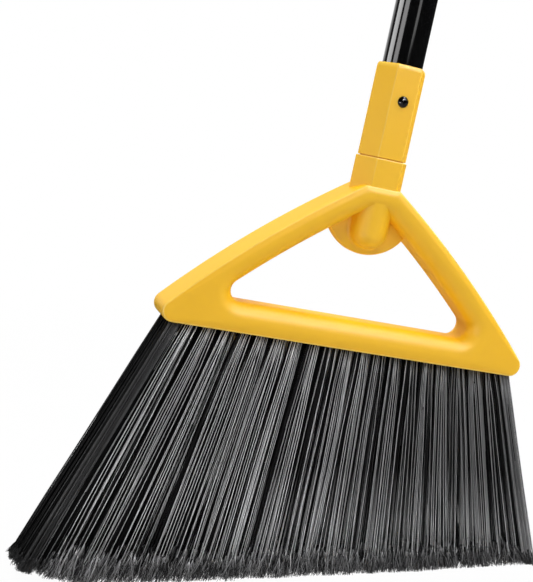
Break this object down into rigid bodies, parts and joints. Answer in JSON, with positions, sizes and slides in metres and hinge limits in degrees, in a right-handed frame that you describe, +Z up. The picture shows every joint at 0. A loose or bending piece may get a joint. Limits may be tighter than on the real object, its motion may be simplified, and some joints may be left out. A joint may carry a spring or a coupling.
{
  "type": "angle broom",
  "caption": "Angle broom: triangular moulded head with an open window, flared bristles trimmed at a slant, hexagonal ferrule and long coated steel handle with a hanging eye.",
  "frame": {"origin": "the point of the trimmed bristle face, on the floor, where the handle's axis meets it", "axes": "+Z up from the floor, +X to the right of the front face, the way the handle leans, and -Y to the front"},
  "size_m": [0.3927, 0.0407, 1.4677],
  "materials": {
    "yellow_plastic": "satin moulded",
    "black_bristle": "drawn filament",
    "black_coating": "gloss",
    "tube_steel": "bright drawn",
    "dark_screw": "dark oxide",
    "black_plastic": "satin moulded",
    "staple_wire": "flat wire"
  },
  "bodies": {
    "head": {"head_frame": "yellow_plastic", "tuft_rank_01": "black_bristle", "tuft_rank_02": "black_bristle", "tuft_rank_03": "black_bristle", "tuft_rank_04": "black_bristle", "tuft_rank_05": "black_bristle", "tuft_rank_06": "black_bristle", "tuft_rank_07": "black_bristle", "tuft_rank_08": "black_bristle", "tuft_rank_09": "black_bristle", "tuft_rank_10": "black_bristle", "tuft_rank_11": "black_bristle", "tuft_rank_12": "black_bristle", "tuft_rank_13": "black_bristle", "tuft_rank_14": "black_bristle", "tuft_rank_15": "black_bristle", "tuft_rank_16": "black_bristle", "tuft_rank_17": "black_bristle", "tuft_rank_18": "black_bristle", "tuft_rank_19": "black_bristle", "tuft_rank_20": "black_bristle", "tuft_rank_end": "black_bristle", "tuft_staples": "staple_wire"},
    "handle": {"ferrule": "yellow_plastic", "handle_tube": "tube_steel", "handle_coating": "black_coating", "ferrule_screw": "dark_screw", "hang_cap": "black_plastic"}
  },
  "joints": [
    {"name": "handle_pull", "type": "slide", "parent": "head", "child": "handle", "axis": [0.1392, 0, 0.9903], "range_m": [0, 0.055]}
  ]
}
